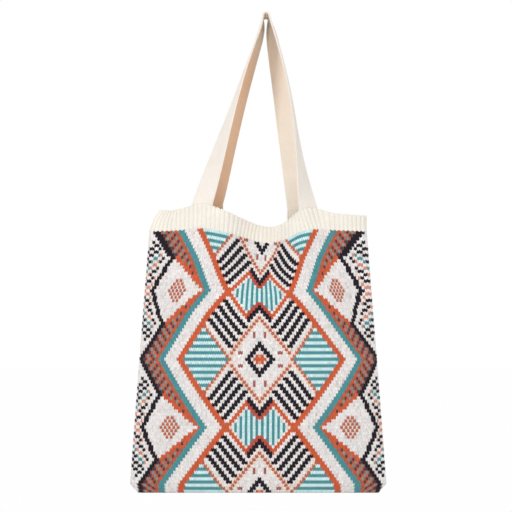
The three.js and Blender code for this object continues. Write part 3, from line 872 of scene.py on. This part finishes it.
def strapSurface(plan, across):
    # The middle surface of a strap, from the left foot over the hook to the right one, resampled
    # to even courses, and how far along the strap each course is
    left = legRows(plan, plan["left"], 1, across)
    right = legRows(plan, plan["right"], -1, across)[::-1]
    middleColumn = len(across) // 2
    ends = [math.atan2(row[middleColumn][2] + strapSizes["hookRadius"], row[middleColumn][0])
            for row in (left[-1], right[0])]
    bend = [widthRow(hookPoint(plan["side"], angle), plan["side"] * math.pi / 2, across)
            for angle in np.linspace(ends[0], ends[1], strapSizes["hookSteps"] + 1)[1:-1]]
    rows = np.array(left + bend + right)
    steps = np.linalg.norm(np.diff(rows[:, middleColumn], axis=0), axis=1)
    length = np.concatenate([[0], np.cumsum(steps)])
    count = 2 * int(length[-1] / strapSizes["rowPitch"] / 2)
    along = np.linspace(0, length[-1], count + 1)
    i = np.clip(np.searchsorted(length, along, side="right") - 1, 0, len(length) - 2)
    t = ((along - length[i]) / (length[i + 1] - length[i]))[:, None, None]
    return mixed(rows[i], rows[i + 1], t), along


def strapCreases(along, share):
    # soft waves along the strap, strongest on its middle line and none near its feet
    def awayFrom(end):
        return smoothStep((np.abs(along - end) - strapSizes["wrinkleFrom"]) / strapSizes["wrinkleFade"])

    free = awayFrom(0) * awayFrom(along[-1])
    wave = sum(size * np.sin(along / pitch + phase) for pitch, phase, size in strapSizes["wrinkleWaves"])
    bend = np.cos(share * strapSizes["wrinkleBend"])
    return strapSizes["wrinkle"] * (free * wave)[:, None] * bend[None, :]


def strapColours(count, columns, side):
    # One colour for each triangle of the two faces and the caps: the face towards the middle of
    # the bag has the inside colour, with painted shade along the left leg
    faceTriangles = 2 * columns * count
    capTriangles = 2 * (2 * columns - 2)
    # painted shade: the inner face darkens to the shaded colour along the left leg and fades out past
    # shadedTo
    paintedShade = 1 - smoothStep((np.arange(count) / count - strapSizes["shadedTo"]) / strapSizes["shadedFade"])
    inside, shaded = linearColour(strapSizes["inside"]), linearColour(strapSizes["insideShaded"])
    colours = np.tile(linearColour(strapSizes["outside"]), (2 * faceTriangles + capTriangles, 1))
    start = 0 if side > 0 else faceTriangles
    insideRows = mixed(inside, shaded, paintedShade[:, None])
    colours[start:start + faceTriangles] = np.repeat(insideRows, 2 * columns, axis=0)
    return colours


def knitStrap(name, node, material):
    # A flat tubular strap: its middle surface, with a rounded thickness to both sides of it and
    # fine stitches on both faces
    plan = strapPlans[node]
    columns = 4 * strapSizes["wales"]
    across = strapSizes["width"] * (np.arange(columns + 1) / columns - 0.5)
    middle, along = strapSurface(plan, across)
    count = len(along) - 1
    normal = np.cross(np.gradient(middle, axis=1), np.gradient(middle, axis=0))
    normal /= np.linalg.norm(normal, axis=2, keepdims=True)
    share = 2 * across / strapSizes["width"]
    half = strapSizes["thickness"] / 2 * np.sqrt(1 - np.abs(share) ** 10)
    half = half * mixed(strapSizes["middleShare"], 1, np.abs(share) ** 3)
    crease = strapCreases(along, share)
    relief = plainLegs(count + 1, columns + 1, strapSizes["leg"])
    relief[:, [0, -1]] = 0
    outer = middle + normal * (crease + half + relief)[..., None]
    inner = middle + normal * (crease - half - relief)[..., None]
    outerIds = np.arange(outer[..., 0].size).reshape(outer.shape[:2])
    innerIds = outerIds.size + np.arange(inner[:, 1:-1, 0].size).reshape(count + 1, columns - 1)
    innerIds = np.concatenate([outerIds[:, :1], innerIds, outerIds[:, -1:]], axis=1)
    triangles = [
        latticeTriangles(outerIds)[..., ::-1].reshape(-1, 3), latticeTriangles(innerIds).reshape(-1, 3),
    ]
    for end, step in ((0, -1), (-1, 1)):
        upper, lower = outerIds[end], innerIds[end]
        cap = np.concatenate([
            np.stack([upper[1:-2], upper[2:-1], lower[2:-1]], -1),
            np.stack([upper[1:-2], lower[2:-1], lower[1:-2]], -1),
            [[upper[0], upper[1], lower[1]], [upper[-2], upper[-1], lower[-2]]],
        ])
        triangles.append(cap[:, ::step])
    triangles = np.concatenate(triangles)
    colours = strapColours(count, columns, plan["side"])
    points = np.concatenate([outer.reshape(-1, 3), inner[:, 1:-1].reshape(-1, 3)])
    v, u = np.indices(outer.shape[:2])
    outerUv = np.stack([u / 4, v / 2], -1)
    uv = np.concatenate([outerUv.reshape(-1, 2), outerUv[:, 1:-1].reshape(-1, 2)])
    # furrow depth of each point, which the material darkens as painted shade
    depth = 1 - relief / strapSizes["leg"]
    furrow = np.concatenate([depth.ravel(), depth[:, 1:-1].ravel()]) * strapSizes["furrow"]
    piece = makePiece(name, points, triangles, material, colours, uv, furrow)
    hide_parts(node)
    print(name, len(triangles), "triangles,", round(float(along[-1])), "mm long")


# The same yarn knitted fine and tight: nearly smooth, with finer tufts
strapKnit = cottonMaterial("cream cotton strap knit", None, plyPitch=1.2, tuft=0.833, patch=33.3)
for node in strapPlans:
    knitStrap(node + "_knit", node, strapKnit)


threads = {
    "colour": "#F3E9D8",
    "linkRadius": 0.55,
    "linkSteps": 6,  # points to a wale
    "linkSwing": 0.5,
    "linkDepth": 1.5,  # from the middle of the fabric to the inside of the bag
    "seamRadius": 0.42,
    "seamInset": 2.5,  # from the edge of the strap
    "seamStitch": 3,
    "seamSteps": 400,
    "seamLift": 0.1,
    "seamThin": 0.45,  # thickness between two stitches against that of a stitch
    "sides": 6,
    "mapPitch": 3,  # mm of thread drawn as one stitch
}


def threadRing(path, radius, square):
    # a closed thread with a round section: points and triangles
    along = np.roll(path, -1, 0) - np.roll(path, 1, 0)
    first = np.cross(along, square)
    first /= np.linalg.norm(first, axis=1, keepdims=True)
    second = np.cross(first, along)
    second /= np.linalg.norm(second, axis=1, keepdims=True)
    turn = 2 * np.pi * np.arange(threads["sides"]) / threads["sides"]
    section = first[:, None] * np.cos(turn)[None, :, None] + second[:, None] * np.sin(turn)[None, :, None]
    points = path[:, None] + np.reshape(radius, (-1, 1, 1)) * section
    ids = np.arange(points[..., 0].size).reshape(points.shape[:2])
    following, beside = np.roll(ids, -1, 0), np.roll(ids, -1, 1)
    opposite = np.roll(following, -1, 1)
    triangles = np.concatenate([
        np.stack([ids, following, opposite], -1), np.stack([ids, opposite, beside], -1),
    ])
    return points.reshape(-1, 3), triangles.reshape(-1, 3)


def threadPiece(name, rings, material):
    # a few closed threads as one piece
    starts = np.cumsum([0] + [len(points) for points, _ in rings[:-1]])
    points = np.concatenate([points for points, _ in rings])
    triangles = np.concatenate([triangles + start for (_, triangles), start in zip(rings, starts)])
    uv = points[:, [0, 2]] / threads["mapPitch"]
    piece = makePiece(name, points, triangles, material, None, uv)
    print(name, len(triangles), "triangles")


def linkingThread():
    # The thread that links the band to the body, one loop to a wale, seen inside the bag
    wale = np.arange(walesRound * threads["linkSteps"]) / threads["linkSteps"]
    x, y, share = linePoints(levelLine(0), wale, -threads["linkDepth"])
    swing = threads["linkSwing"] * np.sin(2 * np.pi * wale)
    path = np.stack([tube["centreX"] + x, y, bodyZ(share, 0) + swing], -1)
    return threadRing(path, threads["linkRadius"], (0, 0, 1))


def footSeam(plan, legPlan, leg):
    # The rectangle of stitches that holds a strap's foot, on the face towards the bag's inside.
    # The thread swells and thins once to each stitch.
    footX = legPlan["foot"] * tube["mouthWidth"] / 2
    half = strapSizes["width"] / 2 - threads["seamInset"]
    footAcross = np.linspace(-1, 1, 4 * strapSizes["wales"] + 1) * strapSizes["width"] / 2
    edge = footRow(plan, footX, leg, 1, footAcross)[2]
    low = np.max(bodyZ(edge, 0)) + strapSizes["footRise"] + threads["seamInset"]
    high = np.max(rimZ(edge)) - threads["seamInset"]
    corners = np.array([(-half, low), (half, low), (half, high), (-half, high), (-half, low)])
    lengths = np.concatenate([[0], np.cumsum(np.linalg.norm(np.diff(corners, axis=0), axis=1))])
    place = np.arange(threads["seamSteps"]) / threads["seamSteps"] * lengths[-1]
    across, z = (np.interp(place, lengths, corners[:, axis]) for axis in (0, 1))
    deeper = strapSizes["thickness"] / 2 + threads["seamLift"]
    x, y, _ = footRow(plan, footX, leg, 1, across, deeper)
    stitches = round(lengths[-1] / threads["seamStitch"])
    swell = mixed(threads["seamThin"], 1, np.abs(np.sin(np.pi * stitches * place / lengths[-1])))
    return threadRing(np.stack([x, y, z], -1), threads["seamRadius"] * swell, (0, 1, 0))


# Twisted cotton thread, a little darker and smoother than the yarn that it holds
threadCotton = cottonMaterial("cotton sewing thread", threads["colour"], plyPitch=1.2, tuft=0.667, patch=22.2)
threadPiece("linking_thread", [linkingThread()], threadCotton)
for node, plan in strapPlans.items():
    seams = [footSeam(plan, plan["left"], 1), footSeam(plan, plan["right"], -1)]
    threadPiece(node + "_seams", seams, threadCotton)


# Floor and lamps: places and sizes in metres, powers in watts
studio = {
    "floorZ": -0.78,
    "floorSize": 8,
    "floorColour": (0.9, 0.9, 0.9, 1),
    "floorGlow": 0.98,  # how much of the floor is plain white to the camera
    "white": (1, 1, 1, 1),
    "worldStrength": 0.66,
}
lamps = {
    "key softbox": {"place": (-1.4, -1.6, 0.7), "size": 0.7, "power": 17.5, "colour": (1, 1, 0.995)},
    "fill softbox": {"place": (1.7, -1.4, 0.3), "size": 1.4, "power": 10.5, "colour": (1, 1, 1)},
}
lampAim = (0, 0, -0.35)  # near the mouth of the bag


def whiteWorld():
    # plain white to the camera, and a softer light on the bag
    world = bpy.data.worlds.new("studio")
    bpy.context.scene.world = world
    world.use_nodes = True
    tree = world.node_tree
    tree.nodes.clear()
    path = addNode(tree, "ShaderNodeLightPath")
    seen = addNode(tree, "ShaderNodeBackground", {"Color": studio["white"], "Strength": 1})
    light = addNode(tree, "ShaderNodeBackground",
                    {"Color": studio["white"], "Strength": studio["worldStrength"]})
    both = addNode(tree, "ShaderNodeMixShader", {},
                   {0: path.outputs["Is Camera Ray"], 1: light.outputs[0], 2: seen.outputs[0]})
    addNode(tree, "ShaderNodeOutputWorld", {}, {"Surface": both.outputs[0]})


def whiteFloor():
    # a white floor that the camera sees as nearly plain white, so that it keeps a faint shadow
    paint = bpy.data.materials.new("white studio floor")
    paint.use_nodes = True
    tree = paint.node_tree
    tree.nodes.clear()
    path = addNode(tree, "ShaderNodeLightPath")
    plain = addNode(tree, "ShaderNodeBsdfDiffuse", {"Color": studio["floorColour"]})
    glow = addNode(tree, "ShaderNodeEmission", {"Color": studio["white"], "Strength": 1})
    share = addNode(tree, "ShaderNodeMath", {1: studio["floorGlow"]},
                    {0: path.outputs["Is Camera Ray"]}, operation="MULTIPLY")
    both = addNode(tree, "ShaderNodeMixShader", {},
                   {0: share.outputs[0], 1: plain.outputs[0], 2: glow.outputs[0]})
    addNode(tree, "ShaderNodeOutputMaterial", {}, {"Surface": both.outputs[0]})
    reach, z = studio["floorSize"] / 2, studio["floorZ"]
    corners = [(-reach, -reach, z), (reach, -reach, z), (reach, reach, z), (-reach, reach, z)]
    mesh = bpy.data.meshes.new("floor")
    mesh.from_pydata(corners, [], [(0, 1, 2, 3)])
    mesh.materials.append(paint)
    floor = bpy.data.objects.new("floor", mesh)
    bpy.context.scene.collection.objects.link(floor)


def softbox(name, place, size, power, colour):
    # a square lamp turned to the bag
    light = bpy.data.lights.new(name, "AREA")
    light.shape = "SQUARE"
    light.size = size
    light.energy = power
    light.color = colour
    lamp = bpy.data.objects.new(name, light)
    lamp.location = place
    aim = np.array(lampAim) - np.array(place)
    tilt = math.atan2(math.hypot(aim[0], aim[1]), -aim[2])
    lamp.rotation_euler = (tilt, 0, math.atan2(aim[1], aim[0]) - math.pi / 2)
    bpy.context.scene.collection.objects.link(lamp)


whiteWorld()
whiteFloor()
for name, lamp in lamps.items():
    softbox(name, **lamp)
print("studio lit")
